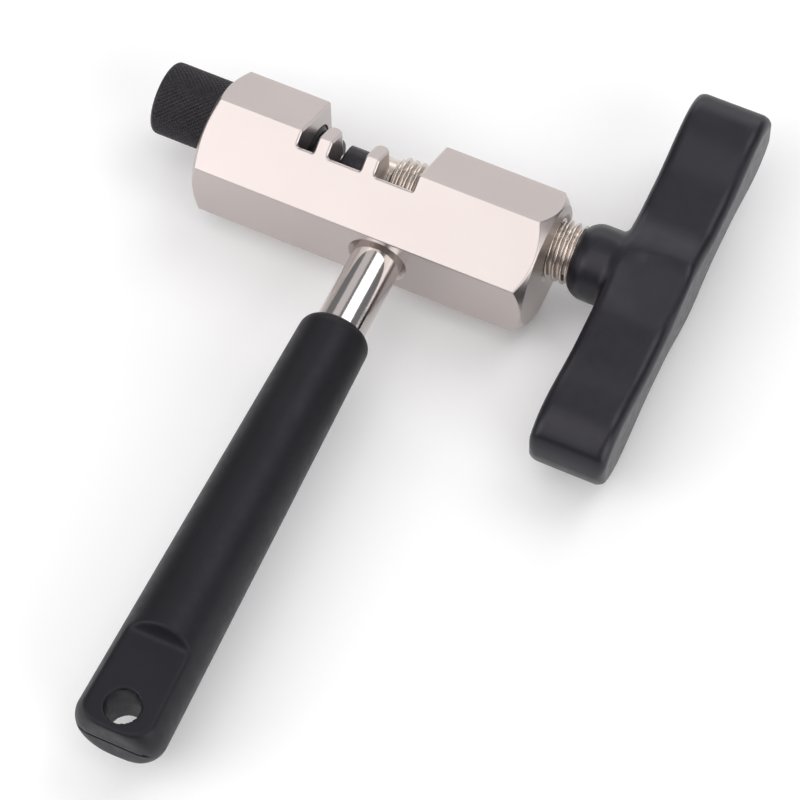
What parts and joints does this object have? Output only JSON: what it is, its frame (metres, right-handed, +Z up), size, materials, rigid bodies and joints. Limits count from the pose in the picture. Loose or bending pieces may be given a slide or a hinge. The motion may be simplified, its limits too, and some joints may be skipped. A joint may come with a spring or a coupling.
{
  "type": "bicycle chain tool",
  "caption": "Bench chain tool: hexagonal nickel body with two chain cradles, drive screw with T-handle, knurled support screw and a hand grip on a steel rod.",
  "frame": {"origin": "centre of the tool's bounding box in plan, at its lowest point, the body's bottom corner edge", "axes": "+X along the drive screw towards the T-handle, +Y out of the chain slots and away from the hand grip, +Z up through the body's top corner edge"},
  "size_m": [0.09, 0.1371, 0.0231],
  "materials": {
    "nickel_body": "satin nickel plate over machined steel",
    "nickel_screw": "nickel plated, bright thread crests",
    "polished_rod": "polished nickel-chrome",
    "black_steel": "black oxide on turned steel, satin",
    "pin_steel": "hardened steel, ground",
    "spring_steel": "spring steel, plain",
    "t_handle_plastic": "moulded black plastic, satin",
    "grip_plastic": "moulded black plastic, fine matt texture"
  },
  "bodies": {
    "frame": {"body": "nickel_body", "handle_rod": "polished_rod", "grip": "grip_plastic"},
    "drive_nose": {"pin_holder": "black_steel", "drive_pin": "pin_steel", "drive_snap_ring": "spring_steel"},
    "drive": {"drive_screw": "nickel_screw", "t_handle": "t_handle_plastic"},
    "support_nose": {"support_pad": "black_steel", "support_snap_ring": "spring_steel"},
    "support": {"support_screw": "black_steel"}
  },
  "joints": [
    {"name": "drive_slide", "type": "slide", "parent": "frame", "child": "drive_nose", "axis": [1, 0, 0], "range_m": [-0.00025, 0.018]},
    {"name": "drive_turn", "type": "hinge", "parent": "drive_nose", "child": "drive", "pos_m": [-0.00162, 0.03465, 0.01155], "axis": [1, 0, 0], "range_deg": [-72, 5184]},
    {"name": "support_slide", "type": "slide", "parent": "frame", "child": "support_nose", "axis": [1, 0, 0], "range_m": [-0.006, 0.0004]},
    {"name": "support_turn", "type": "hinge", "parent": "support_nose", "child": "support", "pos_m": [-0.00162, 0.03465, 0.01155], "axis": [1, 0, 0], "range_deg": [-1728, 115.2]}
  ],
  "couplings": [
    {"joint": "drive_slide", "follows": "drive_turn", "m_per_rad": 0.00019894},
    {"joint": "support_slide", "follows": "support_turn", "m_per_rad": 0.00019894}
  ]
}
